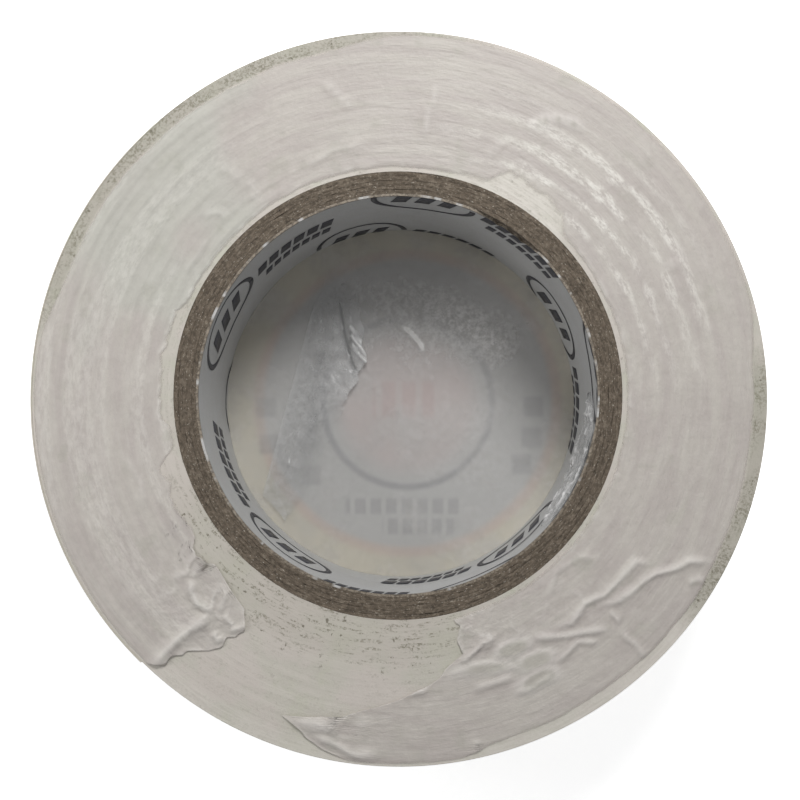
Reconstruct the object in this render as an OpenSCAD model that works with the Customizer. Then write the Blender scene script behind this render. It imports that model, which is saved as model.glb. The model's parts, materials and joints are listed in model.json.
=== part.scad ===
// Roll of white vinyl electrical tape, lying flat on its label.
//
// The origin is on the roll's axis, at the label's lower face. +Z runs along the axis towards
// the open end of the core. The strip is wound anticlockwise seen from +Z, so its cut end
// points anticlockwise, and a length of it near that end is divided into hinged segments.

/* [Tape] */
// Width of the tape, which is the length of the roll along its axis
tape_width = 19.05; // [12:0.05:50]
// Thickness of the vinyl backing
backing_thick = 0.11; // [0.08:0.005:0.2]
// Thickness of the adhesive under the backing
adhesive_thick = 0.025; // [0.015:0.005:0.05]
// Outer diameter of the full roll
roll_diameter = 70.5; // [62:0.5:90]

/* [Core] */
// Diameter of the hole through the core
core_bore = 38.1; // [25.4:0.1:40]
// Thickness of the printed paper liner
liner_thick = 0.25; // [0.15:0.05:0.4]
// Thickness of one chipboard ply
ply_thick = 0.43; // [0.3:0.01:0.6]
// Number of chipboard plies
ply_count = 5; // [1:1:5]

/* [Free end] */
// Number of hinged segments in the strip's free end
tail_count = 8; // [1:1:8]
// Angle of the roll that each segment covers
tail_step = 12; // [6:2:14]
// Angle of the strip's cut end, anticlockwise from +X
tail_end_angle = 227; // [0:1:359]

/* [Film and label] */
// Thickness of the clear film on both faces
film_thick = 0.05; // [0.03:0.01:0.07]
// Bare band between the film's edge and the roll's rim
film_rim_gap = 1.25; // [0.5:0.05:5]
// Bare band between the film's edge and the core
film_core_gap = 0.75; // [0.2:0.05:2]
// Angle at which the missing sector of the front film starts, anticlockwise from +X
film_tear_angle = 227; // [0:1:359]
// Width of the missing sector of the front film
film_tear_sweep = 23; // [5:1:90]
// Diameter of the printed label on the back
label_diameter = 58; // [46:0.5:60]
// Thickness of the label
label_thick = 0.1; // [0.08:0.01:0.2]

/* [Hidden] */
// Step between the corners of the wound outline, in degrees
facet = 2;
// Facets of the true circles
round_fn = 180;

tape_thick = backing_thick + adhesive_thick;
roll_radius = roll_diameter / 2;
liner_inner = core_bore / 2;
liner_outer = liner_inner + liner_thick;
core_radius = liner_outer + ply_count * ply_thick;
tail_sweep = tail_count * tail_step;

// Levels along the axis
back_film_z = label_thick;
roll_z = back_film_z + film_thick;
front_film_z = roll_z + tape_width;

film_inner = core_radius + film_core_gap;
film_outer = roll_radius - film_rim_gap;

// The crumpled flap of film that lies across the bore, with its corners as shares of the bore's radius
flap_thick = 2 * film_thick;
flap_outline = liner_inner * [
    [-0.42, 0.79], [-0.52, 0.52], [-0.79, -0.52], [-0.63, -0.68],
    [-0.47, -0.32], [-0.21, 0.21], [-0.26, 0.68]
];

// The crumpled strip of film on the bore's wall
edge_film_start = -42;
edge_film_sweep = 44;
edge_film_z = roll_z + 0.3 * tape_width;
edge_film_height = 0.66 * tape_width;

// Radius of the strip's outer face, at an angle counted back along the strip from its cut end
function strip_radius(back) = roll_radius - tape_thick * back / 360;

// Point of the strip at that angle, and at a depth below its outer face
function strip_point(back, depth) =
    let (r = strip_radius(back) - depth, a = tail_end_angle - back)
    [r * cos(a), r * sin(a)];

// Line of such points, from one angle back along the strip to another further back
function strip_line(from, to, depth) =
    [for (back = [from : facet : to]) strip_point(back, depth)];

// The same line in the other direction
function strip_line_forward(from, to, depth) =
    [for (back = [to : -facet : from]) strip_point(back, depth)];

// Tube on the roll's axis
module tube(inner, outer, z, height) {
    translate([0, 0, z])
        linear_extrude(height)
            difference() {
                circle(outer, $fn = round_fn);
                circle(inner, $fn = round_fn);
            }
}

// Part of a tube, anticlockwise from one angle
module tube_sector(inner, outer, z, height, start, sweep) {
    rotate([0, 0, start])
        rotate_extrude(angle = sweep, $fn = round_fn)
            translate([inner, z])
                square([outer - inner, height]);
}

// One layer of one tail segment. Segment 1 is next to the roll, and the last one is the cut end.
module tail_layer(i, top_depth, bottom_depth) {
    from = (tail_count - i) * tail_step;
    to = from + tail_step;
    translate([0, 0, roll_z])
        linear_extrude(tape_width)
            polygon(concat(
                strip_line(from, to, top_depth),
                strip_line_forward(from, to, bottom_depth)
            ));
}

// Printed white paper, wound as the innermost ply of the core
module core_liner() {
    color("whitesmoke")
        tube(liner_inner, liner_outer, roll_z, tape_width);
}

// One chipboard ply, counted outwards from the liner
module core_ply(i) {
    inner = liner_outer + (i - 1) * ply_thick;
    color([0.42, 0.38, 0.33])
        tube(inner, inner + ply_thick, roll_z, tape_width);
}

// All the wound turns below the free end, with the step of one tape thickness where it starts
module tape_winding() {
    under_tail = strip_line(0, tail_sweep, tape_thick);
    last_turn = strip_line(tail_sweep, 360 - facet, 0);
    color([0.8, 0.79, 0.76])
        translate([0, 0, roll_z])
            linear_extrude(tape_width)
                difference() {
                    polygon(concat(under_tail, last_turn));
                    circle(core_radius, $fn = round_fn);
                }
}

// Vinyl of one tail segment
module tail_backing(i) {
    color([0.84, 0.83, 0.8])
        tail_layer(i, 0, backing_thick);
}

// Adhesive of one tail segment
module tail_adhesive(i) {
    color([0.72, 0.7, 0.64])
        tail_layer(i, backing_thick, tape_thick);
}

// Film stuck to the open face, with a sector torn out
module clear_film_front() {
    color([0.75, 0.73, 0.72, 0.4])
        tube_sector(
            film_inner, film_outer, front_film_z, film_thick,
            film_tear_angle + film_tear_sweep, 360 - film_tear_sweep
        );
}

// Film torn out of the core's opening, fallen across the bottom of the bore
module clear_film_bore_flap() {
    color([0.8, 0.8, 0.8, 0.5])
        translate([0, 0, roll_z])
            linear_extrude(flap_thick)
                polygon(flap_outline);
}

// Film folded over the core's edge and stuck to the bore's wall
module clear_film_bore_edge() {
    color([0.8, 0.8, 0.8, 0.5])
        tube_sector(
            liner_inner - film_thick, liner_inner, edge_film_z, edge_film_height,
            edge_film_start, edge_film_sweep
        );
}

// Clear film across the back face, under the label
module clear_film_back() {
    color([0.8, 0.8, 0.78, 0.5])
        translate([0, 0, back_film_z])
            cylinder(film_thick, film_outer, film_outer, $fn = round_fn);
}

// Round printed paper label stuck to the back
module label_disc() {
    color([0.86, 0.84, 0.76])
        cylinder(label_thick, label_diameter / 2, label_diameter / 2, $fn = round_fn);
}

core_liner();
for (i = [1 : ply_count])
    core_ply(i);
tape_winding();
for (i = [1 : tail_count])
    tail_backing(i);
for (i = [1 : tail_count])
    tail_adhesive(i);
clear_film_front();
clear_film_bore_flap();
clear_film_bore_edge();
clear_film_back();
label_disc();
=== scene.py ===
import json
import math

import bmesh
import bpy
import mathutils
import numpy as np
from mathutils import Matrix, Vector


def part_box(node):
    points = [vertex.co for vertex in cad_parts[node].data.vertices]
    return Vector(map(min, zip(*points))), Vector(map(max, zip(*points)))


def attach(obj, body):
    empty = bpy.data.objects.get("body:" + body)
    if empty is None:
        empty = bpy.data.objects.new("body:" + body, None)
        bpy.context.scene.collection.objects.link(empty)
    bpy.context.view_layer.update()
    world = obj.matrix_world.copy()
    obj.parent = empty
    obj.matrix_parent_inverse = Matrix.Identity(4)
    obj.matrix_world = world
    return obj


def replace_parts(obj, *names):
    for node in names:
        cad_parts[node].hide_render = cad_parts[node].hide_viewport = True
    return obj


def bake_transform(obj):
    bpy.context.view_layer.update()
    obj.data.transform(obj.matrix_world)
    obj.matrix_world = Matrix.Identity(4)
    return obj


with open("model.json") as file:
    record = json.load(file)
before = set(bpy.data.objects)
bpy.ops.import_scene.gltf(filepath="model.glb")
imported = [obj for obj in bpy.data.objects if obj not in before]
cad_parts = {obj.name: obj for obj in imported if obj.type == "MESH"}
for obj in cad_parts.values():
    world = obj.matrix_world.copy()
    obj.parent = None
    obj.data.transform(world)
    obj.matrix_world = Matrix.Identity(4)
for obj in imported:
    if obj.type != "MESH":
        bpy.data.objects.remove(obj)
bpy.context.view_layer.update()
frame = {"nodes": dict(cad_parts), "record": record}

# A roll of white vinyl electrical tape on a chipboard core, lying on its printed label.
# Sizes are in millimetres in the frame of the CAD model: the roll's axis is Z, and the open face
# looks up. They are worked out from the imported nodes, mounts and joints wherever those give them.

MM = 0.001
record = frame["record"]

# ------------ sizes from the frame


def box_mm(node):
    low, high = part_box(node)
    return np.array(low) / MM, np.array(high) / MM


PLIES = sorted(name for name in frame["nodes"] if name.startswith("core_ply_"))
BACKINGS = sorted(name for name in frame["nodes"] if name.startswith("tail_backing_"))
BORE = next(m for m in record["mounts"] if m["name"] == "core_bore")["dims"]["r_mm"]
PLY_EDGES = [box_mm("core_liner")[1][0]] + [box_mm(ply)[1][0] for ply in PLIES]
CORE = PLY_EDGES[-1]
BACK_Z = box_mm("tape_winding")[0][2]
FACE_Z = box_mm("tape_winding")[1][2]
LABEL = box_mm("label_disc")[1][0]
LABEL_THICK = box_mm("label_disc")[1][2]
FILM_EDGE = box_mm("clear_film_back")[1][0]

# The strip's spiral, from the hinges on its outer face near the cut end
HINGES = np.array([
    next(j for j in record["behaviour"]["joints"] if j["name"] == f"peel_{k + 1}")["pos_m"][:2]
    for k in range(len(BACKINGS))
]) / MM
HINGE_RADIUS = np.hypot(HINGES[:, 0], HINGES[:, 1])
HINGE_ANGLE = np.degrees(np.unwrap(np.arctan2(HINGES[:, 1], HINGES[:, 0])))
STEP = (HINGE_ANGLE[-1] - HINGE_ANGLE[0]) / (len(BACKINGS) - 1)
TURN = (HINGE_RADIUS[-1] - HINGE_RADIUS[0]) * 360 / (HINGE_ANGLE[-1] - HINGE_ANGLE[0])
CUT_ANGLE = HINGE_ANGLE[-1] + STEP
TAIL_SWEEP = STEP * len(BACKINGS)
ROLL = HINGE_RADIUS[-1] + TURN * STEP / 360
GLUE = 0.025


def strip_radius(back):
    """Radius of the strip's outer face, at an angle counted back from its cut end."""
    return ROLL - TURN * back / 360


# ------------ noise and shape functions


def smooth(t):
    t = np.clip(t, 0, 1)
    return t * t * (3 - 2 * t)


def rise(x, low, high):
    """Smooth step from 0 at low to 1 at high."""
    return smooth((x - low) / (high - low))


def between(x, low, start, end, high):
    """1 from start to end, falling smoothly to 0 at low and high."""
    return rise(x, low, start) * rise(x, high, end)


def hump(distance, width):
    return np.exp(-(distance / width) ** 2)


def noise(x, y, seed, wrap=0):
    """Smooth noise from -1 to 1 with one cell per unit. It repeats along x every wrap cells."""
    x, y = np.broadcast_arrays(np.asarray(x, float), np.asarray(y, float))
    cell_x, cell_y = np.floor(x).astype(np.int64), np.floor(y).astype(np.int64)
    part_x, part_y = smooth(x - cell_x), smooth(y - cell_y)

    def corner(dx, dy):
        column = (cell_x + dx) % wrap if wrap else cell_x + dx
        mixed = (column * 73856093) ^ ((cell_y + dy) * 19349663) ^ (seed * 83492791)
        mixed = ((mixed ^ (mixed >> 13)) & 0xFFFFFF) * 1274126177
        return ((mixed >> 9) & 0xFFFF) / 32767.5 - 1

    low = corner(0, 0) * (1 - part_x) + corner(1, 0) * part_x
    high = corner(0, 1) * (1 - part_x) + corner(1, 1) * part_x
    return low * (1 - part_y) + high * part_y


def fractal(x, y, seed, octaves=3, wrap=0):
    """Sum of noise at doubling detail, still about -1 to 1."""
    total, weight = 0, 0
    for k in range(octaves):
        total = total + noise(x * 2**k, y * 2**k, seed + k, wrap * 2**k) / 2**k
        weight += 1 / 2**k
    return total / weight


def creases(x, y, seed, octaves=3):
    """Sharp ridges from 0 to 1, as in crumpled film."""
    total, weight = 0, 0
    for k in range(octaves):
        sharp = 1 - np.abs(noise(x * 2**k, y * 2**k, seed + k))
        total = total + sharp**3 / 1.7**k
        weight += 1 / 1.7**k
    return total / weight


def to_path(x, y, path):
    """Distance from each point to a polyline, and the nearest place along it from 0 to 1."""
    path = np.array(path, float)
    lengths = np.hypot(*np.diff(path, axis=0).T)
    starts = np.concatenate([[0], np.cumsum(lengths)])
    best, along = np.full(x.shape, 1e9), np.zeros(x.shape)
    for (ax, ay), (bx, by), length, start in zip(path[:-1], path[1:], lengths, starts):
        t = np.clip(((x - ax) * (bx - ax) + (y - ay) * (by - ay)) / length**2, 0, 1)
        far = np.hypot(x - ax - t * (bx - ax), y - ay - t * (by - ay))
        nearer = far < best
        best = np.where(nearer, far, best)
        along = np.where(nearer, (start + t * length) / starts[-1], along)
    return best, along


def polar(radius, angle):
    return radius * np.cos(np.radians(angle)), radius * np.sin(np.radians(angle))


# ------------ mesh helpers


def new_object(name, data):
    item = bpy.data.objects.new(name, data)
    bpy.context.scene.collection.objects.link(item)
    return item


def grid_faces(rows, columns, wrap_rows=False, wrap_columns=False):
    """Quads of a grid of points numbered row by row."""
    row = np.arange(rows if wrap_rows else rows - 1)[:, None]
    column = np.arange(columns if wrap_columns else columns - 1)[None, :]
    next_row, next_column = (row + 1) % rows, (column + 1) % columns
    corners = [
        row * columns + column,
        next_row * columns + column,
        next_row * columns + next_column,
        row * columns + next_column,
    ]
    return np.stack(np.broadcast_arrays(*corners), -1).reshape(-1, 4)


def closed(points):
    """Quads of a ring of closed profiles."""
    return grid_faces(*points.shape[:2], True, True)


def add_piece(name, points, faces, materials, slot, body="roll", which=None, sharp=40, thick=0, **values):
    """Makes a piece from points in millimetres. which gives each face's material, and values are
    point attributes that the materials read. thick turns a single sheet into a closed one."""
    mesh = bpy.data.meshes.new(name)
    faces = faces.tolist() if isinstance(faces, np.ndarray) else faces
    mesh.from_pydata((np.reshape(points, (-1, 3)) * MM).tolist(), [], faces)
    for material in materials:
        mesh.materials.append(material)
    if which is not None:
        mesh.polygons.foreach_set("material_index", np.asarray(which, np.int32).ravel())
    shape = bmesh.new()
    shape.from_mesh(mesh)
    bmesh.ops.recalc_face_normals(shape, faces=shape.faces)
    shape.to_mesh(mesh)
    shape.free()
    mesh.shade_smooth()
    mesh.set_sharp_from_angle(angle=math.radians(sharp))
    for key, value in values.items():
        attribute = mesh.attributes.new(key, "FLOAT", "POINT")
        attribute.data.foreach_set("value", np.asarray(value, np.float32).ravel())
    mesh.validate()
    piece = new_object(name, mesh)
    if thick:
        skin = piece.modifiers.new("thickness", "SOLIDIFY")
        skin.thickness = thick * MM
        skin.offset = 0
    if body:
        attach(piece, body)
    return piece


def swept_ring(radius, height, angle):
    """Points of closed profiles standing at each angle, from arrays of angles by profile points."""
    x, y = polar(radius, angle)
    return np.stack(np.broadcast_arrays(x, y, height), -1)


# ------------ material helpers


class Nodes:
    """Short names for the shader nodes of one material. colour is what has been painted so far."""

    def __init__(self, name):
        self.material = bpy.data.materials.new(name)
        self.material.use_nodes = True
        self.tree = self.material.node_tree
        self.place = self.add("ShaderNodeTexCoord").outputs["Object"]
        self.axes = self.add("ShaderNodeSeparateXYZ", {0: self.place}).outputs
        self.colour = None

    def plug(self, node, inputs):
        """Fills inputs, given by name or number, with sockets, numbers or colours."""
        for key, value in inputs.items():
            if isinstance(value, bpy.types.NodeSocket):
                self.tree.links.new(value, node.inputs[key])
            elif value is not None:
                node.inputs[key].default_value = (*value, 1) if isinstance(value, tuple) else value

    def add(self, kind, inputs=None, **settings):
        node = self.tree.nodes.new(kind)
        for key, value in settings.items():
            setattr(node, key, value)
        self.plug(node, inputs or {})
        return node

    def maths(self, operation, *values):
        return self.add("ShaderNodeMath", dict(enumerate(values)), operation=operation).outputs[0]

    def times(self, product, *others):
        for other in others:
            product = self.maths("MULTIPLY", product, other)
        return product

    def step(self, value, low=0.3, high=0.7, start=0.0, end=1.0):
        given = {"Value": value, "From Min": low, "From Max": high, "To Min": start, "To Max": end}
        return self.add("ShaderNodeMapRange", given, interpolation_type="SMOOTHSTEP").outputs["Result"]

    def mix(self, share, first, second):
        return self.add("ShaderNodeMix", {"Factor": share, 6: first, 7: second}, data_type="RGBA").outputs[2]

    def paint(self, share, *levels):
        """Lays a colour over the one so far, where share is 1."""
        self.colour = self.mix(share, self.colour, tone(*levels))

    def value(self, name):
        return self.add("ShaderNodeAttribute", attribute_name=name).outputs["Fac"]

    def noise(self, scale, detail=3.0, rough=0.5):
        """Noise of this scale, or wound round the axis where scale is a tuple."""
        where, size = (self.wound(*scale), 1) if isinstance(scale, tuple) else (self.place, scale)
        given = {"Vector": where, "Scale": size, "Detail": detail, "Roughness": rough}
        return self.add("ShaderNodeTexNoise", given).outputs["Fac"]

    def beside(self, centre):
        """X and Y in millimetres from a line beside the roll's axis."""
        return [self.maths("SUBTRACT", self.maths("DIVIDE", v, MM), c) for v, c in zip(self.axes, centre)]

    def radius(self, centre=(0.0, 0.0)):
        """Distance from the roll's axis, or from a line beside it, in millimetres."""
        squares = [self.times(part, part) for part in self.beside(centre)]
        return self.maths("SQRT", self.maths("ADD", *squares))

    def wound(self, around, across, up=1.0):
        """Coordinates that are stretched round the axis: around, across and up are detail per radian
        and per millimetre."""
        x, y, z = self.axes
        far = self.radius()
        parts = [self.times(self.maths("DIVIDE", v, self.times(far, MM)), around) for v in (x, y)]
        parts.append(self.maths("ADD", self.times(far, across), self.times(z, up / MM)))
        return self.add("ShaderNodeCombineXYZ", dict(enumerate(parts))).outputs[0]

    def bump(self, height, depth, normal=None):
        """Bump of a height from 0 to 1, depth millimetres deep."""
        given = {"Height": height, "Distance": depth * MM, "Normal": normal}
        return self.add("ShaderNodeBump", given).outputs[0]

    def finish(self, roughness, normal, **more):
        """Connects the shader. more is any other input, with underscores for its spaces."""
        given = {"Base Color": self.colour, "Roughness": roughness, "Normal": normal}
        given |= {key.replace("_", " "): value for key, value in more.items()}
        self.plug(self.tree.nodes["Principled BSDF"], given)
        return self.material


def tone(*levels):
    """Linear colour from display levels of 0 to 255."""
    return tuple(((level / 255 + 0.055) / 1.055) ** 2.4 for level in levels)


# ------------ materials


def vinyl_edges():
    """The sides of all the turns: pale vinyl, faintly banded, with dirt by the rim and where soil is
    high, and whitened fibres where pale is."""
    n = Nodes("vinyl_edges")
    bands = n.noise((2.5, 1.1), 3, 0.6)
    turns = n.noise((5, 1 / TURN), 2)
    cloud = n.noise(230, 4, 0.6)
    rim, soil = n.value("rim"), n.value("soil")
    n.colour = n.mix(n.step(bands), tone(190, 186, 175), tone(200, 195, 185))
    n.paint(n.step(turns, 0.35, 0.75, 0, 0.1), 164, 158, 144)
    n.paint(n.step(cloud, 0.44, 0.6, 0, 0.7), 200, 191, 184)
    n.paint(n.step(cloud, 0.46, 0.32, 0, 0.6), 187, 187, 169)
    fibres = n.step(n.noise((11, 5), 4, 0.65), 0.34, 0.6, 0.3, 1)
    n.paint(n.times(n.value("pale"), fibres), 214, 209, 200)
    patchy = n.step(n.noise((7, 0.5), 4, 0.65), 0.34, 0.56)
    n.paint(n.times(soil, 0.55), 178, 172, 161)
    n.paint(n.times(rim, 0.7), 163, 159, 146)
    grain = n.noise(4300, 4, 0.75)
    fine = n.step(grain, 0.46, 0.58)
    streaks = n.step(n.noise((9, 2.6), 5, 0.7), 0.5, 0.58)
    dirt = n.times(streaks, soil, fine)
    rim_dirt = n.times(rim, patchy, fine)
    fleck = n.step(n.noise(1150, 4, 0.65), 0.63, 0.68)
    fleck = n.times(fleck, n.step(n.maths("MAXIMUM", soil, rim), 0.1, 0.6, 0.15, 1))
    n.paint(n.times(n.maths("MAXIMUM", dirt, rim_dirt), 0.7), 108, 104, 84)
    n.paint(n.times(fleck, 0.75), 92, 86, 68)
    rough = n.step(turns, 0.2, 0.8, 0.5, 0.66)
    normal = n.bump(grain, 0.03, n.bump(cloud, 0.1))
    return n.finish(rough, normal)


def vinyl_outside():
    """The smooth white outer face of the strip."""
    n = Nodes("vinyl_outside")
    pull = n.noise((3, 0, 1.6), 4)
    grain = n.noise(5000, 2)
    n.colour = n.mix(n.step(pull), tone(190, 188, 179), tone(204, 202, 194))
    normal = n.bump(grain, 0.004, n.bump(pull, 0.03))
    return n.finish(n.step(pull, 0.3, 0.7, 0.3, 0.42), normal)


def adhesive():
    n = Nodes("adhesive")
    pull = n.noise((14, 0, 3), 4, 0.6)
    n.colour = n.mix(pull, tone(196, 190, 168), tone(214, 209, 190))
    return n.finish(n.step(pull, 0.3, 0.7, 0.18, 0.4), n.bump(pull, 0.03), Alpha=0.85)


def chipboard():
    """Grey-brown board with long fibres round the core, light flecks, dark edges to each ply and painted
    shade on its outer edge.
    """
    n = Nodes("chipboard")
    fibres = n.noise((42, 7, 3), 5, 0.75)
    cloud = n.noise((12, 2.2, 0.6))
    flecks = n.noise((80, 11, 6), 2)
    grain = n.noise(4200, 3, 0.7)
    n.colour = n.mix(n.step(fibres, 0.34, 0.66), tone(70, 61, 50), tone(118, 106, 92))
    tufts = n.noise(1500, 4, 0.7)
    n.paint(n.step(cloud, 0.35, 0.7, 0, 0.45), 94, 83, 70)
    n.paint(n.step(tufts, 0.54, 0.66, 0, 0.5), 138, 127, 112)
    n.paint(n.step(tufts, 0.46, 0.34, 0, 0.5), 66, 58, 48)
    n.paint(n.step(grain, 0.56, 0.68, 0, 0.5), 146, 135, 120)
    n.paint(n.step(grain, 0.44, 0.3, 0, 0.45), 62, 54, 44)
    n.paint(n.step(flecks, 0.66, 0.74, 0, 0.75), 204, 197, 184)
    # edge darkens the joints between plies, and paints shade along the outer edge against the tape
    n.paint(n.value("edge"), 52, 45, 37)
    normal = n.bump(grain, 0.04, n.bump(tufts, 0.1, n.bump(fibres, 0.08)))
    return n.finish(n.step(fibres, 0.3, 0.7, 0.8, 0.95), normal)


def liner_paper():
    """White paper round the bore, with grey board where its front edge is cut and torn."""
    n = Nodes("liner_paper")
    fibres = n.noise((90, 5, 5), 4, 0.6)
    cloud = n.noise((9, 0, 0.4), 2)
    grain = n.noise(4200, 3, 0.7)
    n.colour = n.mix(n.step(fibres), tone(180, 180, 178), tone(196, 196, 194))
    n.paint(n.step(cloud, 0.4, 0.7, 0, 0.35), 196, 197, 199)
    n.paint(n.times(n.value("seam"), 0.5), 140, 138, 134)
    board = n.mix(n.step(grain, 0.35, 0.65), tone(88, 79, 67), tone(144, 133, 118))
    n.colour = n.mix(n.value("torn"), n.colour, board)
    return n.finish(n.step(fibres, 0.3, 0.7, 0.5, 0.66), n.bump(fibres, 0.02))


def ink():
    n = Nodes("ink")
    wear = n.noise((120, 6, 6))
    n.colour = n.mix(n.step(wear, 0.35, 0.7), tone(58, 58, 62), tone(84, 84, 88))
    return n.finish(n.step(wear, 0.3, 0.7, 0.5, 0.62), n.bump(wear, 0.01))


def front_film():
    """Clear film: it vanishes where it clings, is painted white on its folds, partly as highlight, and
    carries painted reflections in arcs.
    """
    n = Nodes("front_film")
    fine = n.noise(900, 4, 0.6)
    crinkle = n.noise(2600, 4, 0.7)
    haze = n.noise((4, 0.9))
    streak = n.noise((9, 2.2), 4, 0.6)
    crease, lift, pucker = n.value("crease"), n.value("lift"), n.value("pucker")
    sheen_streaks = n.noise((24, 2.4), 5, 0.72)
    scuff = n.times(n.value("scuff"), n.step(sheen_streaks, 0.36, 0.62))
    n.colour = n.mix(n.step(haze), tone(206, 198, 192), tone(215, 209, 201))
    n.paint(n.times(n.value("green"), 0.6), 208, 209, 199)
    n.paint(n.step(streak, 0.56, 0.74, 0, 0.3), 225, 221, 213)
    n.paint(n.times(lift, 0.8), 204, 204, 190)
    # Painted white where crease is high: creased film, partly painted highlight on crests and edges.
    n.paint(n.times(crease, 0.6), 240, 237, 231)
    # scuff paints the lamp's reflection white in arcs, and also makes the film more solid, rougher and
    # bumpier there
    n.paint(n.times(scuff, 0.8), 236, 233, 225)
    solid = n.step(fine, 0.2, 0.8, 0.54, 0.66)
    solid = n.maths("SUBTRACT", solid, n.times(lift, 0.36))
    solid = n.maths("ADD", solid, n.times(crease, 0.22))
    solid = n.maths("ADD", solid, n.times(scuff, 0.3))
    solid = n.maths("MINIMUM", n.maths("MAXIMUM", solid, 0.06), 0.94)
    solid = n.times(solid, n.value("cover"))
    rough = n.maths("ADD", n.step(fine, 0.3, 0.7, 0.4, 0.52), n.times(scuff, 0.2))
    puckers = n.times(n.noise(1150, 3, 0.6), pucker)
    normal = n.bump(crinkle, 0.03, n.bump(streak, 0.09, n.bump(fine, 0.06)))
    normal = n.bump(puckers, 0.22, n.bump(n.times(sheen_streaks, n.value("scuff")), 0.05, normal))
    return n.finish(rough, normal, Alpha=solid, Specular_IOR_Level=0.42)


def loose_film():
    """Crumpled clear film inside the bore."""
    n = Nodes("loose_film")
    fine = n.noise(1300, 4, 0.65)
    crease = n.value("crease")
    # Painted highlights where crease is high; below, painted shade where shade is high.
    n.colour = n.mix(crease, tone(220, 220, 219), tone(252, 251, 250))
    n.paint(n.value("shade"), 104, 103, 102)
    crease = n.maths("MAXIMUM", crease, n.value("shade"))
    solid = n.maths("ADD", n.step(fine, 0.3, 0.75, 0.1, 0.26), n.times(crease, 0.7))
    solid = n.times(n.maths("MINIMUM", solid, 0.95), n.value("cover"))
    return n.finish(0.2, n.bump(fine, 0.06), Alpha=solid)


def back_film():
    """The film across the back, dull with soft scuffs, and whitened along a painted highlight arc."""
    n = Nodes("back_film")
    cloud = n.noise(160, 4, 0.55)
    fine = n.noise(1700, 5, 0.68)
    haze = n.times(n.value("haze"), n.step(fine, 0.34, 0.7, 0.62, 1))
    solid = n.maths("ADD", n.step(cloud, 0.42, 0.72, 0.08, 0.26), n.times(haze, 0.55))
    solid = n.maths("MINIMUM", solid, 0.92)
    n.colour = n.mix(n.step(fine), tone(212, 209, 205), tone(236, 234, 232))
    rough = n.step(cloud, 0.3, 0.7, 0.34, 0.5)
    return n.finish(rough, n.bump(cloud, 0.12, n.bump(fine, 0.01)), Alpha=solid)


def band(n, far, radius, width, soft):
    """1 on a printed ring of this radius and width, 0 off it."""
    return n.step(n.maths("ABSOLUTE", n.maths("SUBTRACT", far, radius)), width / 2 + soft, width / 2 - soft)


def bars(n, soft, centre, half, pitch=0):
    """1 on a printed bar, or on a row of bars of this pitch, in millimetres."""
    x, y = n.beside(centre)
    wide = n.step(n.maths("ABSOLUTE", x), half[0] + soft, half[0] - soft)
    tall = n.step(n.maths("ABSOLUTE", y), half[1] + soft, half[1] - soft)
    mask = n.times(wide, tall)
    if pitch:
        wave = n.maths("SINE", n.times(x, 2 * math.pi / pitch))
        mask = n.times(mask, n.step(wave, -0.7 - soft, -0.7 + soft * 2))
    return mask


# Print on the label: a row of bars in place of each line of words, as centre, half size and pitch
LABEL_SPOTS = ((14.6, -0.5), (14.4, -3.9), (13.3, -6.8), (-14.8, -0.6), (-14.4, -4.6), (-9.8, -8.0))
LABEL_LINES = (
    ((0.3, -11.4), (6.3, 0.85), 1.7),
    ((2.0, -13.6), (3.9, 0.85), 1.6),
    *((spot, (1.1, 1.1)) for spot in LABEL_SPOTS),
)
LABEL_MARK = ((0.4, 0.3), (3.4, 2.0), 2.2)


def label_inside():
    """The label's own back, seen through the bore, with its print showing faintly through."""
    n = Nodes("label_inside")
    far = n.radius((0.8, 0.0))
    fibres = n.noise(1500, 4, 0.6)
    cloud = n.noise(120)
    n.colour = n.mix(n.step(far, 15.4, 16.8), tone(178, 177, 175), tone(194, 188, 172))
    n.paint(n.step(far, 9.0, 6.0), 186, 176, 173)
    n.paint(n.step(cloud, 0.4, 0.7, 0, 0.4), 174, 173, 171)
    n.paint(n.times(band(n, far, 9.3, 0.7, 0.3), 0.5), 120, 120, 124)
    n.paint(n.times(band(n, far, 16.4, 1.1, 0.4), 0.5), 188, 166, 158)
    for line in LABEL_LINES:
        n.paint(n.times(bars(n, 0.3, *line), 0.35), 126, 126, 128)
    n.paint(n.times(bars(n, 0.4, *LABEL_MARK), 0.25), 172, 136, 132)
    return n.finish(n.step(fibres, 0.3, 0.7, 0.55, 0.7), n.bump(fibres, 0.02))


def label_printed():
    """The outward face of the label, with plain printed rings and bars."""
    n = Nodes("label_printed")
    far = n.radius()
    fibres = n.noise(1500, 4, 0.6)
    n.colour = n.mix(n.step(fibres), tone(226, 224, 216), tone(236, 234, 228))
    n.paint(n.step(far, 16.85, 16.75), 214, 214, 212)
    n.paint(band(n, far, 9.3, 0.6, 0.03), 92, 92, 96)
    n.paint(band(n, far, 16.7, 1.1, 0.03), 176, 70, 58)
    n.paint(band(n, far, 27.4, 0.5, 0.03), 92, 92, 96)
    for line in LABEL_LINES + (LABEL_MARK,):
        n.paint(bars(n, 0.04, *line), 92, 92, 96)
    return n.finish(n.step(fibres, 0.3, 0.7, 0.32, 0.45), n.bump(fibres, 0.01))


def table_top():
    n = Nodes("table_top")
    grain = n.noise(400)
    n.colour = n.mix(grain, tone(246, 246, 246), tone(250, 250, 250))
    return n.finish(0.6, n.bump(grain, 0.02), Emission_Color=(1, 1, 1), Emission_Strength=0.62)


# ------------ the wound tape


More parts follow.
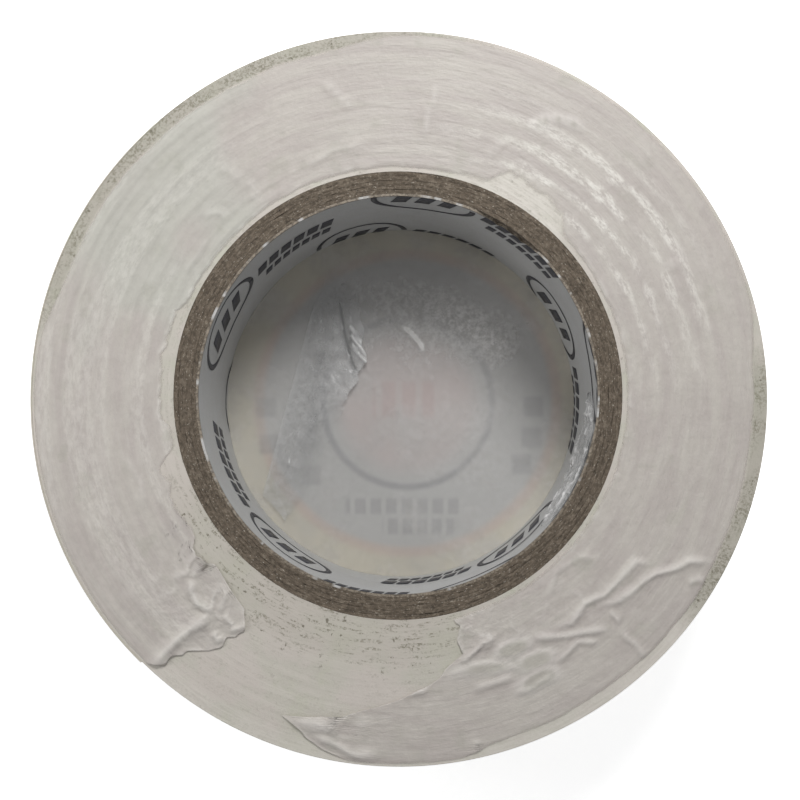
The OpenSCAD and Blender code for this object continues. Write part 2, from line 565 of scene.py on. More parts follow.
def winding(edges, outside):
    """All the turns under the tail. Every ring of points follows the spiral, and steps out by one
    thickness where the tail leaves."""
    back = np.concatenate([
        np.linspace(0, TAIL_SWEEP - 0.01, 97),
        np.linspace(TAIL_SWEEP + 0.01, 360, 265, endpoint=False),
    ])[:, None]
    angle = (CUT_ANGLE - back) % 360
    under_tail = (back < TAIL_SWEEP).astype(float)
    turns = int((ROLL - CORE) / TURN) - 1
    rings = np.arange(0, turns, 0.5)
    radius = strip_radius(back + 360 * (rings + under_tail))
    groove = 0.006 * (rings % 1 == 0)
    height = 0.006 * noise((back + 360 * rings) / 60, rings * 0.35, 3)
    height += 0.02 * noise(radius * 0.9, np.radians(angle) * 0.6, 5) - 0.03
    height += FACE_Z - groove
    height[:, 0] -= 0.02
    core = np.full((len(back), 1), CORE)
    low_radius = np.concatenate([core, radius[:, ::-8]], 1)
    level = np.linspace(0.015, 0.985, 10)
    wall_z = BACK_Z + (FACE_Z - BACK_Z) * level
    wall_radius = radius[:, :1] + 0.006 * noise(angle / 9, wall_z / 2.4, 8, 40)
    all_radius = np.concatenate([radius, core, core, low_radius[:, 1:], wall_radius], 1)
    low_z = np.concatenate([[FACE_Z - 0.02], np.full(low_radius.shape[1], BACK_Z), wall_z])
    all_z = np.concatenate([height, low_z + 0 * back], 1)
    points = swept_ring(all_radius, all_z, angle)
    which = np.zeros(all_radius.shape, int)
    which[:, -len(level):] = 1
    top_left = between(angle, 66, 98, 158, 178)
    right = rise(np.cos(np.radians(angle + 16)), 0.9, 0.96)
    rim = rise(all_radius, ROLL - 1.6, ROLL - 1.1) * np.maximum(0.1, np.maximum(top_left, right))
    bare = between(angle, 196, 216, 270, 300)
    soil = rise(all_radius, 28, 23) * (0.3 + 0.7 * bare) + 0.2 * bare
    pale = rise(all_radius, 25, 24) * between(angle, 40, 48, 66, 82)
    low_rim = between(angle, 205, 230, 325, 342)
    pale = np.maximum(pale, 0.65 * rise(all_radius, ROLL - 2.2, ROLL - 1) * low_rim)
    look = {"which": which, "sharp": 30, "rim": rim, "soil": np.clip(soil, 0, 1), "pale": pale}
    piece = add_piece("wound_tape", points, closed(points), [edges, outside], "vinyl", **look)
    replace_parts(piece, "tape_winding")


def ribbon(name, first, last, outer, inner, materials, slot, cut=False):
    """A strip of the tail between two angles counted back from the cut end."""
    columns = max(int(abs(first - last)), 4)
    along = np.linspace(0, 1, columns + 1)[:, None]
    bevel = min(0.02, (outer - inner) / 3)
    rows = np.linspace(BACK_Z + bevel, FACE_Z - bevel, 12 if not cut else 60)
    height = np.concatenate([[BACK_Z, BACK_Z], rows, [FACE_Z, FACE_Z], rows[::-1]])
    outside, inside = rows * 0 + outer, rows * 0 + inner
    depth = np.concatenate([[inner, outer - bevel], outside, [outer - bevel, inner], inside])
    notch = 0
    if cut:
        teeth = np.abs((height / 0.9) % 1 - 0.5) * 2
        notch = (0.28 * teeth + 0.2 * (1 + noise(height / 3, 0, 4))) / math.radians(ROLL)
    back = first + (last + notch - first) * along + 0 * height
    radius = strip_radius(back) - (TURN - depth)
    points = swept_ring(radius, height, CUT_ANGLE - back)
    size = points.shape[1]
    faces = grid_faces(points.shape[0], size, False, True).tolist()
    faces.append(list(range(size)))
    faces.append([columns * size + k for k in range(size)][::-1])
    which = [int(2 <= k % size < 1 + len(rows)) for k in range(len(faces) - 2)] + [0, 0]
    return add_piece(name, points, faces, materials, slot, body=None, which=which, sharp=30)


def tail(edges, outside, glue):
    """The free end of the strip, in lengths from the middle of one CAD segment to the next. Only the
    last length is attached to a tail body; the others are left unattached."""
    count = len(BACKINGS)
    middle = [TAIL_SWEEP - STEP * (k + 0.5) for k in range(count)]
    stops = [TAIL_SWEEP] + middle + [0.0]
    for layer, outer, inner, materials, slot in (
        ("backing", TURN, GLUE, [edges, outside], "vinyl"),
        ("adhesive", GLUE, 0.0, [glue, glue], "adhesive"),
    ):
        for k, span in enumerate(zip(stops, stops[1:])):
            piece = ribbon(f"free_end_{layer}_{k}", *span, outer, inner, materials, slot, k == count)
            if k == 0:
                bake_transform(piece)
            elif k < count:
                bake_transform(piece)
            else:
                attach(piece, f"tail_{count}")
            if k:
                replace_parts(piece, f"tail_{layer}_{k}")


# ------------ the core


def ply(k, material):
    """One paperboard ply, with a rough cut top."""
    inner, outer = PLY_EDGES[k], PLY_EDGES[k + 1]
    angle = np.arange(0, 360, 0.6)[:, None]
    across = np.array([0.0, 0.08, 0.3, 0.55, 0.8, 0.95, 1.0])
    top = FACE_Z - 0.04 + 0.09 * fractal(angle / 3, across * 2 + 7 * k, 30 + k, 3, 120)
    top += 0.05 * noise(angle / 10, 0, 37 + k, 36) - 0.02 * (np.abs(across - 0.5) > 0.47)
    radius = np.concatenate([inner + (outer - inner) * across, [outer, inner]]) + 0 * angle
    low = np.full((len(angle), 2), BACK_Z)
    points = swept_ring(radius, np.concatenate([top, low], 1), angle)
    gap = np.maximum(0, 0.02 + 0.3 * noise(angle / 5, 0, 35 + k, 72))
    # The outermost ply's outer edge is painted dark as shade under the tape's edge.
    last = 0.55 if k == len(PLIES) - 1 else gap
    wall = 0.5 + np.zeros((len(angle), 2))
    edge = np.concatenate([gap * (across < 0.02) + last * (across > 0.98) + 0 * angle, wall], 1)
    piece = add_piece(f"core_board_{k + 1}", points, closed(points), [material], "chipboard", edge=edge)
    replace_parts(piece, PLIES[k])


def liner_tear(angle):
    """How far the paper's front edge is torn back at each angle, in millimetres."""
    gap = np.clip(1 - np.abs((angle - 55) / 12), 0, 1)
    torn = 0.9 * smooth(gap * 1.6) * (1 + 0.5 * noise(angle / 1.7, 0, 21))
    return torn + 0.05 * (1 + fractal(angle / 4, 0, 22, 3, 90))


# The paper's helical joint: how far it climbs in one turn, and where it starts at the back
PAPER_PITCH = 46
PAPER_START = 200


def seam_angle(angle, height):
    """Degrees round the wall from the helical joint in the paper."""
    turn = 360 * (height - BACK_Z) / PAPER_PITCH + PAPER_START
    return (angle - turn + 180) % 360 - 180


def liner(material):
    """The paper round the bore: wound on a helix, so that a shallow joint climbs the wall."""
    angle = np.arange(0, 360, 0.5)[:, None]
    tear = liner_tear(angle)
    share = np.concatenate([np.linspace(0, 0.94, 34), [0.97, 1.0]])[None, :]
    top = FACE_Z - tear
    height = BACK_Z + (top - BACK_Z) * share
    joint = seam_angle(angle, height)
    step = 0.05 * between(joint, 0, 1.2, 6, 40)
    dent = 0.02 * (1 + noise(angle / 12, height / 3, 23, 30))
    radius = BORE + step + dent
    outer = np.full((len(angle), 2), PLY_EDGES[0])
    outer_z = np.concatenate([top, np.full_like(top, BACK_Z)], 1)
    points = swept_ring(np.concatenate([radius, outer], 1), np.concatenate([height, outer_z], 1), angle)
    white = 0.8 * rise(fractal(angle / 3, 0, 24, 3, 120), 0.25, 0.6)
    torn = np.maximum(1 - white, rise(tear, 0.25, 0.5))
    torn = np.concatenate([torn * rise(share, 0.985, 1.0), torn, torn], 1)
    seam = np.concatenate([hump(joint, 0.7), 0 * tear, 0 * tear], 1)
    look = {"torn": torn, "seam": seam}
    piece = add_piece("bore_paper", points, closed(points), [material], "printed_paper", **look)
    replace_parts(piece, "core_liner")


def stadium(length, height):
    """Outline of a bar with round ends."""
    turn = np.linspace(0, 2 * np.pi, 40, endpoint=False)
    x = np.sign(np.cos(turn)) * np.abs(np.cos(turn)) ** 0.8 * length / 2
    return x, np.sin(turn) * height / 2


def bar(x, y, length, height):
    """Corners of a short slanted bar, cut finely enough to follow the wall."""
    along = np.linspace(-0.5, 0.5, 7)
    low_x, high_x = x + along * length - 0.1 * height, x + along * length + 0.1 * height
    return low_x, high_x, y - height / 2 + 0 * along, y + height / 2 + 0 * along


def print_mark():
    """Strips of points for one generic mark: a ring round three plain bars."""
    outer, inner = stadium(10.4, 10.4), stadium(9.2, 9.6)
    close = [np.append(v, v[0]) for v in (*outer, *inner)]
    ring = (close[0], close[2], close[1], close[3])
    return [ring, bar(-2.2, 0, 1.5, 4.0), bar(0.1, 0, 1.5, 4.0), bar(2.3, 0, 1.3, 4.0)]


def print_block():
    """Strips of points for one block of greeked text: two lines of plain bars."""
    line = [bar(-4.0 + 1.6 * k, 1.9, 1.25, 2.6) for k in range(6)]
    return line + [bar(-3.6 + 1.2 * k, -1.4, 0.9, 1.9) for k in range(7)]


def liner_print(material):
    """Marks on a helix round the wall, each with a block of text clockwise of it."""
    marks = ((156.3, 12.8), (233.4, 10.4), (310.7, 7.6), (28.8, 4.2), (103.3, 0.6), (178.3, -3.6))
    marks = marks + ((82.2, 18.3), (6.2, 20.6), (293, 22.0))
    blocks = [(angle - 32, height - 2.4) for angle, height in marks]
    slope = 1
    cosine, sine = polar(1, slope)
    points, faces = [], []
    for spots, strips in ((marks, print_mark()), (blocks, print_block())):
        for angle, height in spots:
            for low_x, high_x, low_y, high_y in strips:
                x = np.concatenate([low_x, high_x])
                y = np.concatenate([low_y, high_y])
                turned = x * cosine - y * sine
                level = height + x * sine + y * cosine
                where = angle - np.degrees(turned / BORE)
                level = np.clip(level, BACK_Z + 0.1, FACE_Z - 0.12 - liner_tear(where % 360))
                start, size = sum(len(p) for p in points), len(low_x)
                points.append(swept_ring(BORE - 0.012, level, where))
                flat = np.ptp(level.reshape(2, size), axis=0) < 0.02
                for k in range(size - 1):
                    if not (flat[k] and flat[k + 1]):
                        faces.append([start + k, start + k + 1, start + size + k + 1, start + size + k])
    used = sorted({corner for face in faces for corner in face})
    place = {corner: k for k, corner in enumerate(used)}
    points = np.concatenate(points)[used]
    faces = [[place[corner] for corner in face] for face in faces]
    return add_piece("bore_print", points, faces, [material], "printed_paper", thick=0.012)


# ------------ film over the open face

# How far round the torn edges of the film lie, from its inner edge (0) to its outer edge (1)
TEAR_SHARE = (0, 0.28, 0.45, 0.7, 0.8, 0.95, 1)
TEAR_START = (285, 283.5, 275.5, 260, 250, 258, 262)
END_SHARE = (0, 0.1, 0.25, 0.4, 0.5, 0.58, 0.75, 0.88, 1)
TEAR_END = (214, 219.5, 235.5, 237, 235, 234.5, 231.5, 229, 227.5)

# Folds as paths over the face, with their half width and height
FOLDS = (
    (((-23.5, -26), (-22.5, -25), (-21, -23.5), (-18.5, -21.5), (-17.5, -21)), 0.6, 0.6),
    (((-17.5, -21), (-18, -20.5), (-19, -20), (-19.5, -18.5), (-19.5, -17.5)), 0.4, 0.4),
    (((-19.5, -17.5), (-18.5, -16), (-18.5, -15), (-19, -14)), 0.35, 0.3),
    (((-17, -21), (-16.5, -20), (-16, -19), (-14, -18.5)), 0.35, 0.25),
    (((-17.5, -22.5), (-17, -23.5), (-16.5, -23)), 0.35, 0.35),
    (((-16.5, -21), (-15.5, -22)), 0.3, 0.3),
    (((-16, -22.5), (-14.5, -22), (-14, -21)), 0.35, 0.3),
    (((-21.5, -17.5), (-20, -17), (-19, -15.5)), 0.4, 0.22),
    (((-10.5, -31), (-9, -31), (-6.5, -31.5), (-5, -30), (-3, -29), (-0.5, -28), (2, -27)), 0.55, 0.4),
    (((-8, -32), (-6, -33), (-4, -34), (-1.5, -34)), 0.45, 0.3),
    (((0.5, -28.5), (2.5, -28), (1.5, -27.5)), 0.3, 0.3),
    (((30, -16), (27.5, -16), (24.5, -17), (23, -18), (21, -19.5), (19, -20)), 0.4, 0.36),
    (((24, -16), (22.5, -16), (21, -17.5), (19.5, -19), (17.5, -20), (16.5, -21.5), (15, -22)), 0.38, 0.34),
    (((20, -22), (17.5, -22.5), (15, -23), (12.5, -23)), 0.38, 0.32),
    (((21, -21.5), (20, -20.5)), 0.3, 0.22),
    (((21, -22.5), (22.5, -23.5), (23.5, -25)), 0.35, 0.25),
    (((19, -23.5), (17, -23.5), (16, -24.5), (15, -25.5)), 0.35, 0.28),
    (((11, -28), (13, -27.5), (15, -26.5)), 0.4, 0.28),
    (((5.5, -25.5), (6.5, -25), (8, -23.5), (9.5, -23)), 0.32, 0.28),
    (((7, -28), (8.5, -27.5), (11, -26.5)), 0.35, 0.25),
    (((14, -19.5), (15, -17), (17, -15.5), (19, -15.5)), 0.4, 0.16),
    (((27.5, -18), (29, -17.5)), 0.35, 0.2),
    (((20, -9), (21, -7.5)), 0.4, 0.12),
    (((7.5, -32.5), (7.5, -34)), 0.25, 0.2),
    (((2.5, 24.5), (3, 27.5), (4, 30)), 0.3, 0.16),
    (((-17.5, 22), (-16, 21.5), (-15, 20.5)), 0.3, 0.16),
    (((-14.5, 20.5), (-14, 19.5), (-13.5, 18.5)), 0.3, 0.18),
    (((-7.5, 30.5), (-6, 29), (-4.5, 27.5)), 0.3, 0.18),
    (((-19, 17), (-17.5, 17.5), (-16, 17)), 0.3, 0.14),
    (((-9, 22), (-6, 23.5), (-3, 24)), 0.4, 0.16),
    (((-20.5, 12), (-19, 13.5), (-18.5, 15)), 0.3, 0.14),
    (((-24, 10), (-23, 12.5)), 0.35, 0.12),
    (((-26, -6), (-24.5, -8.5), (-24, -11)), 0.45, 0.14),
    (((10, 24.5), (8.5, 22.5)), 0.35, 0.12),
    (((24, 24), (24, 22.5)), 0.3, 0.14),
    (((25.5, 12), (27.5, 12.5)), 0.3, 0.14),
)

# Blisters, each with its centre, half length, half width and turn
BLISTERS = (
    (13.1, -25.2, 1.7, 0.8, 14),
    (13.3, -27.0, 1.9, 0.8, 20),
    (11, -24, 1.6, 0.7, 25),
    (8.2, -26, 2.5, 0.55, 8),
    (14, 26, 0.9, 0.5, 20),
    (15.6, 26.4, 0.6, 0.4, 0),
    (17, 26, 0.6, 0.4, -20),
)


def film_inner_edge(angle):
    """Radius of the film's ragged inner edge."""
    left = 0.9 * between(angle, 156, 160, 185, 189)
    low_left = 1.7 * between(angle, 192, 198, 219, 224)
    top_right = 1.6 * between(angle, 43, 50, 63, 68)
    ragged = 0.22 * noise(angle / 3.1, 0, 41) + 0.14 * noise(angle / 0.9, 0, 42)
    rough = 0.3 + rise(left + low_left + top_right, 0, 1)
    return CORE + 0.4 + left + low_left + top_right + ragged * rough


def film_outer_edge(angle):
    """Radius of the film's outer edge, which stops short of the rim in three places."""
    short = between(angle, 88, 104, 158, 176)
    short = np.maximum(short, rise(angle, 318, 332) + rise(angle, 16, 2))
    short = np.maximum(short, 0.8 * rise(angle, 280, 286))
    waver = 0.12 * noise(angle / 5, 0, 50, 72) + 0.05 * noise(angle / 1.2, 0, 51)
    return ROLL - 0.35 + (FILM_EDGE + 0.25 - ROLL) * np.clip(short, 0, 1) + waver * (0.2 + 0.8 * short)


def film_relief(x, y):
    """Height of the folds over the clinging film, how sharply creased they are, which is painted white
    partly as highlight, and where blisters hold it off the tape."""
    height = crease = blister = np.zeros(x.shape)
    bend_x = x + 0.16 * noise(x * 0.5, y * 0.5, 43)
    bend_y = y + 0.16 * noise(x * 0.5, y * 0.5, 44)
    for path, width, tall in FOLDS:
        far, along = to_path(bend_x, bend_y, path)
        taper = between(along, -0.05, 0.2, 0.8, 1.05)
        width = 0.9 * width * (1 + 0.2 * noise(along * 5, 0, 45))
        shape = hump(far, width) + 0.18 * hump(far, 2.6 * width)
        height = np.maximum(height, 0.72 * tall * taper * shape)
        crease = np.maximum(crease, 0.6 * taper * hump(far, 0.8 * width) * min(tall / 0.35, 1))
    for centre_x, centre_y, long, short, turn in BLISTERS:
        cosine, sine = polar(1, turn)
        u = ((bend_x - centre_x) * cosine + (bend_y - centre_y) * sine) / long
        v = ((bend_y - centre_y) * cosine - (bend_x - centre_x) * sine) / short
        far = (np.abs(u) ** 2.6 + np.abs(v) ** 2.6) ** (1 / 2.6)
        edge = 0.3 / short
        rim = hump(far - 1, edge)
        height = np.maximum(height, 0.14 * rise(far, 1 + edge, 1 - edge) + 0.05 * rim)
        crease = np.maximum(crease, 0.4 * rim)
        blister = np.maximum(blister, rise(far, 1, 1 - edge))
    return height, crease, blister


def crumple_zone(x, y):
    """Where the film is generally puckered: round the two torn edges and the lower right folds."""
    start = hump(x + 18, 5) * hump(y + 20, 4.5)
    end = np.maximum(hump(x - 8, 5) * hump(y + 23, 2.5), 0.8 * hump(x + 6, 5) * hump(y + 31, 2.2))
    return np.maximum(np.maximum(start, end), 0.4 * hump(x - 18, 8) * hump(y + 21, 4))


def film_ripples(radius, angle):
    """Low rings that follow the turns beneath, strongest on the left and over the top."""
    place = np.radians(angle)
    left = rise(np.cos(place - math.radians(172)), 0.5, 0.95)
    top = 0.35 * rise(np.cos(place - math.radians(105)), 0.75, 0.95)
    strength = (0.12 + left + top) * rise(noise(radius * 0.4, angle / 14, 70), -0.6, 0.5)
    phase = 2 * np.pi * radius / 1.15 + 2.2 * noise(radius * 0.3, angle / 22, 58)
    scallop = 0.5 * np.abs(noise(angle / 7, radius * 0.8, 71))
    return strength * (1 - np.abs(np.cos(phase / 2 + scallop)) ** 1.5)


def film_sheen(radius, angle):
    """Painted reflections: white arcs over the upper right, and fainter ones on the left."""
    right = hump(angle - 42, 33) * between(radius, 22, 24, 29, 33.5)
    drift = radius - (45 - angle) / 28
    arcs = 0.5 + 0.5 * np.cos(2 * np.pi * drift / 2.1 + 1.6 * noise(angle / 15, radius * 0.3, 72))
    arcs = rise(arcs + 0.8 * fractal(angle / 5, radius * 0.9, 59), 0.4, 1.05)
    rings = rise(noise(radius * 1.1, angle / 60, 60), 0.1, 0.7)
    rings *= rise(np.cos(np.radians(angle - 180)), 0.2, 0.9)
    return np.clip(right * arcs + 0.3 * rings, 0, 1)


def front_film_piece(material):
    """The film that clings to the open face, torn away at the lower left. Its columns stand closest
    near both torn edges, where the folds are."""
    share = np.linspace(0, 1, 70)[:, None]
    along = np.interp(np.linspace(0, 1, 690), (0, 0.47, 0.76, 1), (0, 0.28, 0.86, 1))[None, :]
    ragged = 0.7 * noise(share * 11, 0, 46) + 0.4 * noise(share * 27, 0, 47)
    first = np.interp(share, END_SHARE, TEAR_END) + ragged
    ragged = 0.7 * noise(share * 12, 0, 48) + 0.4 * noise(share * 29, 0, 49)
    last = np.interp(share, TEAR_SHARE, TEAR_START) + ragged
    start, end = np.mean(TEAR_START), np.mean(TEAR_END)
    swept = start + (end + 360 - start) * along
    swept = swept + (last - start) * rise(along, 0.2, 0) + (first - end) * rise(along, 0.88, 1)
    angle = swept % 360
    inner, outer = film_inner_edge(angle), film_outer_edge(angle)
    radius = inner + (outer - inner) * share
    x, y = polar(radius, angle)
    height, crease, blister = film_relief(x, y)
    zone = crumple_zone(x, y)
    pucker = creases(x * 0.6, y * 0.6, 52, 2)
    height += 0.16 * zone * pucker
    crease = np.maximum(crease, 0.5 * zone * rise(pucker, 0.5, 0.85))
    length = (swept[:, -1:] - swept[:, :1]) * math.radians(1) * radius
    torn = hump(along * length, 0.4) + hump((1 - along) * length, 0.4)
    torn *= 0.5 + 0.5 * noise(share * 40, 0, 53)
    from_inside = radius - inner
    # Painted glints along the film's inner edge, whitened through crease.
    edge_glint = hump(from_inside, 0.5) * rise(noise(angle / 1.5, from_inside, 54), 0.0, 0.6)
    crease = np.clip(np.maximum(crease, np.maximum(0.6 * torn, 0.55 * edge_glint)), 0, 1)
    ripples = film_ripples(radius, angle)
    flat = rise(from_inside, 0, 0.4) * rise(outer - radius, 0, 0.4)
    height += flat * (0.085 * ripples + 0.03 * (1 + noise(x * 0.25, y * 0.25, 55)))
    height += 0.06 * torn + 0.03 * edge_glint
    green = rise(0.5 * noise(x * 0.2, y * 0.2, 57) + 1.1 * hump(angle - 140, 28), 0.4, 1.1)
    spots = rise(fractal(x * 0.5, y * 0.5, 73, 3), 0.35, 0.6)
    lift = np.clip(np.maximum(0.4 * blister, 0.25 * spots), 0, 1)
    fade = 0.35 + 0.5 * between(angle, 40, 46, 70, 78)
    cover = rise(from_inside, -0.05, fade) * rise(outer - radius, -0.05, 0.3)
    points = np.stack([x, y, FACE_Z + 0.028 + height], -1)
    look = {"crease": crease, "lift": lift, "green": green, "cover": cover, "pucker": zone}
    look.update(scuff=film_sheen(radius, angle), thick=0.01, sharp=60)
    film = add_piece("face_film", points, grid_faces(*x.shape), [material], "clear_film", **look)
    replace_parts(film, "clear_film_front")


# ------------ film and label at the back


DISC_COLUMNS = 300


def disc(name, radius_top, radius_low, top, low, materials, slot, haze=0):
    """A closed disc with a fan at its middle. top and low are heights at the rings of each face."""
    columns = DISC_COLUMNS
    angle = np.linspace(0, 360, columns, endpoint=False)[:, None]
    radius = np.concatenate([radius_top, radius_low[::-1]])
    height = np.concatenate([top, low[::-1]], -1) + 0 * angle
    ring = swept_ring(radius, height, angle)
    rows = len(radius)
    middles = [[0, 0, height[:, end].mean()] for end in (0, -1)]
    points = np.concatenate([ring.reshape(-1, 3), middles])
    faces = grid_faces(columns, rows, True, False).tolist()
    which = [int(k % (rows - 1) >= len(radius_top) - 1) for k in range(len(faces))]
    for k in range(columns):
        following = (k + 1) % columns
        faces.append([following * rows, k * rows, columns * rows])
        faces.append([k * rows + rows - 1, following * rows + rows - 1, columns * rows + 1])
        which += [0, 1]
    shade = np.zeros((columns, rows))
    shade[:, :len(radius_top)] = haze
    shade = np.append(shade.ravel(), [0, 0])
    return add_piece(name, points, faces, materials, slot, which=which, sharp=30, haze=shade)


def back_film_piece(material):
    """The film between the roll and its label, which bellies slightly where it spans the bore."""
    low, high = box_mm("clear_film_back")[0][2] + 0.012, box_mm("clear_film_back")[1][2] - 0.01
    radius = np.concatenate([np.linspace(0.5, BORE + 0.5, 90), np.linspace(BORE + 1.5, FILM_EDGE, 10)])
    angle = np.linspace(0, 360, DISC_COLUMNS, endpoint=False)[:, None]
    x, y = polar(radius, angle)
    belly = rise(radius, BORE - 0.5, BORE - 5) * 0.22 * (1 + fractal(x * 0.13, y * 0.13, 61, 2))
    radius_low = np.array([0.5, BORE, FILM_EDGE - 0.02])
    # A painted highlight: a thin bright arc by the bore's inner ring, raised slightly and whitened through
    # haze.
    highlight_arc, place = to_path(x, y, ((0.2, 8.4), (1.3, 7.6), (2.1, 6.6), (2.7, 5.5)))
    highlight_arc = hump(highlight_arc, 0.2) * between(place, 0, 0.2, 0.7, 1)
    # Here haze_and_shadow is the distance to the path of a hazy patch of film.
    haze_and_shadow, across = to_path(x, y, ((-4.5, 12), (1, 12), (6, 10), (10.5, 6.5)))
    haze = hump(haze_and_shadow, 2.5) * (0.55 + 0.6 * rise(across, 0.1, 0.75))
    haze += 0.5 * hump(x - 1, 8) * hump(y - 7, 4) + 3.5 * highlight_arc
    top = high + belly + 0.06 * highlight_arc
    floor = np.full(3, low) + 0 * angle
    film = disc("back_film", radius, radius_low, top, floor, [material] * 2, "clear_film", haze=haze)
    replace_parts(film, "clear_film_back")


def label_piece(inside, printed):
    """The round paper label that the roll lies on."""
    radius = np.array([0.5, 10.0, 20.0, LABEL - 0.03, LABEL])
    angle = np.zeros((DISC_COLUMNS, 1))
    top = np.array([LABEL_THICK] * 4 + [LABEL_THICK - 0.03]) + angle
    low = np.array([0.0] * 4 + [0.02]) + angle
    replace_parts(disc("label", radius, radius, top, low, [inside, printed], "label_paper"), "label_disc")


def bore_flap(material):
    """A torn flap of film lying crumpled on the label inside the bore."""
    along = np.linspace(0, 1, 150)[:, None]
    across = np.linspace(0, 1, 50)[None, :]
    left = ((-7.8, 14.7), (-9.6, 10.6), (-15.1, -10.2), (-12.8, -12.7))
    right = ((-5.2, 13.3), (-3.5, 4.4), (-8.8, -6.1), (-12.0, -12.9))
    stops = (0, 0.16, 0.88, 1)
    edge = [[np.interp(along, stops, [p[axis] for p in side]) for axis in (0, 1)] for side in (left, right)]
    jag = 0.5 * noise(along * 17, 0, 62) + 0.3 * noise(along * 40, 0, 63)
    x = edge[0][0] + (edge[1][0] + jag - edge[0][0]) * across
    y = edge[0][1] + (edge[1][1] + 0.4 * jag - edge[0][1]) * across
    crumple = creases((x - 0.35 * y) * 0.75, y * 0.22, 64, 4)
    spine, _ = to_path(x, y, ((-8.6, 9.5), (-9.6, 4.5), (-10.4, 0.5), (-11.4, -4), (-13.2, -8.5)))
    spine = hump(spine, 1.3)
    # A fold valley, lowered and painted dark as shade through the shade value.
    valley, place = to_path(x, y, ((-6.9, 12.4), (-6.3, 8.5), (-5.7, 5.8), (-4.9, 3.4)))
    valley = hump(valley, 0.22) * rise(place, 0, 0.3)
    lift = rise(across, 0.1, 0.6) * between(along, 0.0, 0.15, 0.7, 1.0)
    height = 0.12 + lift * (0.2 + 0.45 * crumple + 0.4 * spine) - 0.15 * valley * lift
    patches = rise(fractal(x * 0.8, y * 0.8, 69, 3), -0.2, 0.3)
    # Painted glints in patches along the crumpled spine.
    crease = rise(crumple, 0.5, 0.85) * (0.1 + 0.9 * spine) * patches
    # A painted highlight along the flap's left edge.
    edge_highlight = hump(across, 0.05) * between(along, 0.1, 0.2, 0.8, 0.95)
    crease = np.maximum(crease, 0.4 * edge_highlight)
    upper = between(along, 0.04, 0.16, 0.4, 0.62) * rise(across, 0, 0.3)
    crease = np.maximum(crease, upper * (0.16 + 0.12 * noise(x, y, 74)))
    # Three short diagonal folds, raised and marked with painted glints.
    for start_x, start_y in ((-5.5, 8.2), (-5.3, 7.2), (-5.2, 6.2)):
        far, _ = to_path(x, y, ((start_x, start_y), (start_x + 1.5, start_y - 1.9)))
        height += 0.3 * hump(far, 0.22)
        crease = np.maximum(crease, 0.9 * hump(far, 0.15))
    floor = box_mm("clear_film_bore_flap")[0][2] + 0.3
    points = np.stack([x, y, floor + height], -1)
    cover = rise(across, -0.05, 0.1) * rise(along, -0.02, 0.1)
    cover *= 1 - 0.75 * rise(across, 0.5, 0.95) * rise(along, 0.35, 0.55)
    # Painted shadow to the right of the spine.
    behind, _ = to_path(x, y, ((-8.6, 5), (-9.2, 0.5), (-9.6, -3.5), (-11.4, -6.5)))
    haze_and_shadow = 0.4 * hump(behind, 0.9) * rise(noise(x * 0.7, y * 0.7, 75), -0.5, 0.5)
    look = {"crease": crease, "cover": cover, "shade": np.maximum(0.8 * valley, haze_and_shadow)}
    look.update(thick=0.03, sharp=60)
    flap = add_piece("bore_flap", points, grid_faces(*x.shape), [material], "clear_film", **look)
    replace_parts(flap, "clear_film_bore_flap")


def bore_edge_film(material):
    """A strip of film stuck crumpled to the wall of the bore."""
    low, high = box_mm("clear_film_bore_edge")[0][2], box_mm("clear_film_bore_edge")[1][2]
    along = np.linspace(0, 1, 120)[:, None]
    across = np.linspace(0, 1, 48)[None, :]
    angle = -41 + 42 * along + 3 * noise(across * 4, 0, 66) * (1 - along)
    tall = (high - low) * (0.3 + 0.7 * between(along, -0.1, 0.25, 0.6, 1.05))
    top = high - 0.2 - 1.5 * rise(along, 0.75, 1) + 0.3 * noise(along * 14, 0, 67)
    height = top - tall * (1 - across) * (0.85 + 0.3 * fractal(along * 9, 0, 65))
    crumple = creases(along * 9, across * 4, 68, 4)
    radius = BORE - 0.05 - 0.45 * crumple * between(across, 0, 0.15, 0.8, 1)
    points = swept_ring(radius, height, angle)
    # The strip is painted white on its crumples, partly as glints.
    crease = 0.3 + 0.7 * rise(crumple, 0.45, 0.7)
    cover = 0.9 * rise(across, 0, 0.2) * between(along, 0, 0.08, 0.85, 1)
    look = {"crease": crease, "cover": cover, "shade": 0 * crease, "thick": 0.03, "sharp": 60}
    film = add_piece("bore_edge_film", points, grid_faces(*radius.shape), [material], "clear_film", **look)
    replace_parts(film, "clear_film_bore_edge")


# ------------ stage, light and camera


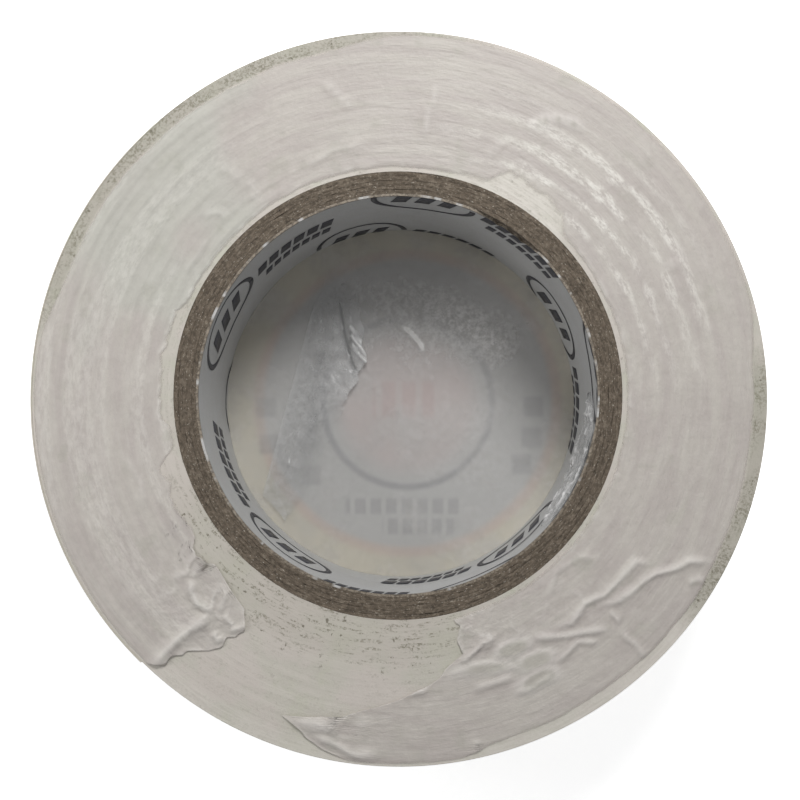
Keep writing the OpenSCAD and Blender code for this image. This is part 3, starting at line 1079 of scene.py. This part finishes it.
def add_floor(material):
    """A wide round floor, open under the roll so that the label can be seen from below."""
    turn = np.linspace(0, 360, 128, endpoint=False)[:, None]
    radius = np.array([[ROLL - 1, 2 * ROLL, 3000]]) + 0 * turn
    points = swept_ring(radius, 0 * radius, turn).reshape(-1, 3) * MM
    mesh = bpy.data.meshes.new("floor")
    mesh.from_pydata(points.tolist(), [], grid_faces(*radius.shape, True, False).tolist())
    mesh.materials.append(material)
    new_object("floor", mesh)


def add_lamp(name, energy, size, place):
    """A round soft lamp at a place in millimetres, aimed at the roll's open face."""
    light = bpy.data.lights.new(name, "AREA")
    light.shape = "DISK"
    light.size = size * MM
    light.energy = energy
    lamp = new_object(name, light)
    lamp.location = mathutils.Vector(place) * MM
    aim = mathutils.Vector((0, 0, FACE_Z * MM)) - lamp.location
    lamp.rotation_euler = aim.to_track_quat("-Z", "Y").to_euler()


def add_lights():
    """The main lamp stands above the top of the picture and a weak one to its left, with pale light
    from all round."""
    add_lamp("key", 0.25, 70, (24, 115, 165))
    add_lamp("side", 0.05, 60, (-130, 20, 110))
    world = bpy.data.worlds.new("studio")
    world.use_nodes = True
    sky = world.node_tree.nodes["Background"].inputs
    sky["Color"].default_value = (0.97, 0.98, 1, 1)
    sky["Strength"].default_value = 0.35
    bpy.context.scene.world = world
    bpy.context.scene.view_settings.view_transform = "Standard"


def add_camera():
    """The photo's view, solved from the circles of the roll, core and bore in it."""
    camera = bpy.data.cameras.new("camera")
    camera.lens = 58.9
    camera.sensor_width = 36
    camera.shift_x = 0.0061
    camera.shift_y = -0.0191
    camera.clip_start = 0.01
    view = new_object("camera", camera)
    view.location = (2.18 * MM, -6.27 * MM, 144.03 * MM)
    view.rotation_euler = (math.radians(3.26), math.radians(1.09), 0)
    bpy.context.scene.camera = view


edges, outside, glue = vinyl_edges(), vinyl_outside(), adhesive()
board, loose = chipboard(), loose_film()
winding(edges, outside)
tail(edges, outside, glue)
for k in range(len(PLIES)):
    ply(k, board)
liner(liner_paper())
liner_print(ink())
front_film_piece(front_film())
back_film_piece(back_film())
label_piece(label_inside(), label_printed())
bore_flap(loose)
bore_edge_film(loose)
add_floor(table_top())
add_lights()
add_camera()
